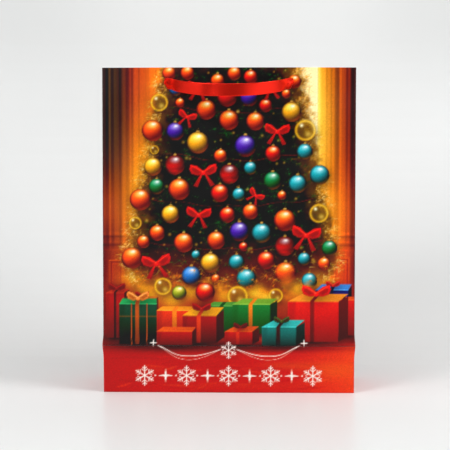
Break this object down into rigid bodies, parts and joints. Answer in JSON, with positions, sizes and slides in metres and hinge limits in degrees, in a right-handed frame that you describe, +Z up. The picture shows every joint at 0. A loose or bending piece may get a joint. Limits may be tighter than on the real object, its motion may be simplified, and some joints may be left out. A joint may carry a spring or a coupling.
{
  "type": "gift bag",
  "caption": "Upright rectangular paper carrier bag with an open mouth, side gussets, a scored lower band and a drooping satin ribbon handle on each broad face.",
  "frame": {"origin": "middle of the base, on the surface that the bag stands on", "axes": "+Z up along the height, +X across the width to the viewer's right, front face towards -Y"},
  "size_m": [0.31, 0.2292, 0.4],
  "materials": {
    "printed_front": "four-colour print under a clear film with a soft gloss",
    "printed_rear": "four-colour print under a clear film with a soft gloss",
    "printed_side": "four-colour print under a clear film with a soft gloss",
    "printed_base": "plain red print under a clear film",
    "printed_hem": "printed edge turned in at the mouth, under a clear film",
    "bare_paper": "uncoated white back of the paper, matt",
    "stiffening_card": "grey-white board, matt",
    "satin_ribbon": "woven satin, glossy along its length"
  },
  "bodies": {
    "rear_wall": {"rear_panel": "printed_rear", "side_seam_flap": "bare_paper", "rear_top_hem": "printed_hem", "rear_top_card": "stiffening_card", "rear_ribbon_knots": "satin_ribbon"},
    "gusset_rear_left_leaf": {"gusset_rear_left": "printed_side", "hem_rear_left": "printed_hem"},
    "gusset_rear_right_leaf": {"gusset_rear_right": "printed_side", "hem_rear_right": "printed_hem"},
    "gusset_front_left_leaf": {"gusset_front_left": "printed_side", "hem_front_left": "printed_hem"},
    "gusset_front_right_leaf": {"gusset_front_right": "printed_side", "hem_front_right": "printed_hem"},
    "front_wall": {"front_panel": "printed_front", "front_top_hem": "printed_hem", "front_top_card": "stiffening_card", "front_ribbon_knots": "satin_ribbon"},
    "front_lower_wall": {"front_lower_panel": "printed_front"},
    "base": {"bottom_panel": "printed_base", "bottom_inner_flap": "bare_paper", "dust_flap_left": "bare_paper", "dust_flap_right": "bare_paper", "bottom_card": "stiffening_card"},
    "corner_left": {"corner_fold_left": "printed_side"},
    "corner_right": {"corner_fold_right": "printed_side"},
    "end_left": {"base_end_left": "printed_side"},
    "end_right": {"base_end_right": "printed_side"},
    "front_handle": {"front_ribbon": "satin_ribbon"},
    "rear_handle": {"rear_ribbon": "satin_ribbon"}
  },
  "joints": [
    {"name": "side_fold", "type": "hinge", "parent": "rear_wall", "child": "gusset_rear_left_leaf", "pos_m": [-0.1546, 0.0571, 0.2], "axis": [0, 0, 1], "range_deg": [0, 80], "deforming": ["corner_fold_left", "corner_fold_right", "base_end_left", "base_end_right"]},
    {"name": "side_fold_right", "type": "hinge", "parent": "rear_wall", "child": "gusset_rear_right_leaf", "pos_m": [0.1546, 0.0571, 0.2], "axis": [0, 0, -1], "range_deg": [0, 88]},
    {"name": "gusset_crease_left", "type": "hinge", "parent": "gusset_rear_left_leaf", "child": "gusset_front_left_leaf", "pos_m": [-0.155, 0, 0.2], "axis": [0, 0, -1], "range_deg": [0, 176]},
    {"name": "gusset_crease_right", "type": "hinge", "parent": "gusset_rear_right_leaf", "child": "gusset_front_right_leaf", "pos_m": [0.155, 0, 0.2], "axis": [0, 0, 1], "range_deg": [0, 176]},
    {"name": "front_corner_crease", "type": "hinge", "parent": "gusset_front_left_leaf", "child": "front_wall", "pos_m": [-0.1546, -0.0571, 0.2], "axis": [0, 0, 1], "range_deg": [0, 88]},
    {"name": "front_score", "type": "hinge", "parent": "front_wall", "child": "front_lower_wall", "pos_m": [0, -0.0575, 0.0585], "axis": [-1, 0, 0], "range_deg": [0, 179]},
    {"name": "base_fold", "type": "hinge", "parent": "rear_wall", "child": "base", "pos_m": [0, 0.0571, 0.0004], "axis": [-1, 0, 0], "range_deg": [0, 58]},
    {"name": "corner_crease_left", "type": "hinge", "parent": "front_lower_wall", "child": "corner_left", "pos_m": [-0.1546, -0.0571, 0.03], "axis": [0, 0, -1], "range_deg": [0, 88]},
    {"name": "corner_crease_right", "type": "hinge", "parent": "front_lower_wall", "child": "corner_right", "pos_m": [0.1546, -0.0571, 0.03], "axis": [0, 0, 1], "range_deg": [0, 88]},
    {"name": "base_end_crease_left", "type": "hinge", "parent": "base", "child": "end_left", "pos_m": [-0.1539, 0, 0.0005], "axis": [0, 1, 0], "range_deg": [0, 88]},
    {"name": "base_end_crease_right", "type": "hinge", "parent": "base", "child": "end_right", "pos_m": [0.1539, 0, 0.0005], "axis": [0, -1, 0], "range_deg": [0, 88]},
    {"name": "front_handle_swing", "type": "hinge", "parent": "front_wall", "child": "front_handle", "pos_m": [0, -0.06, 0.385], "axis": [-1, 0, 0], "range_deg": [0, 101.5]},
    {"name": "rear_handle_swing", "type": "hinge", "parent": "rear_wall", "child": "rear_handle", "pos_m": [0, 0.06, 0.385], "axis": [1, 0, 0], "range_deg": [0, 101.5]}
  ],
  "couplings": [
    {"joint": "side_fold_right", "follows": "side_fold", "ratio": 1},
    {"joint": "gusset_crease_left", "follows": "side_fold", "ratio": 2},
    {"joint": "gusset_crease_right", "follows": "side_fold", "ratio": 2},
    {"joint": "front_corner_crease", "follows": "side_fold", "ratio": 1},
    {"joint": "front_score", "follows": "side_fold", "ratio": 2.05},
    {"joint": "base_fold", "follows": "side_fold", "ratio": 0.65},
    {"joint": "corner_crease_left", "follows": "side_fold", "ratio": 1},
    {"joint": "corner_crease_right", "follows": "side_fold", "ratio": 1},
    {"joint": "base_end_crease_left", "follows": "side_fold", "ratio": 1},
    {"joint": "base_end_crease_right", "follows": "side_fold", "ratio": 1}
  ]
}
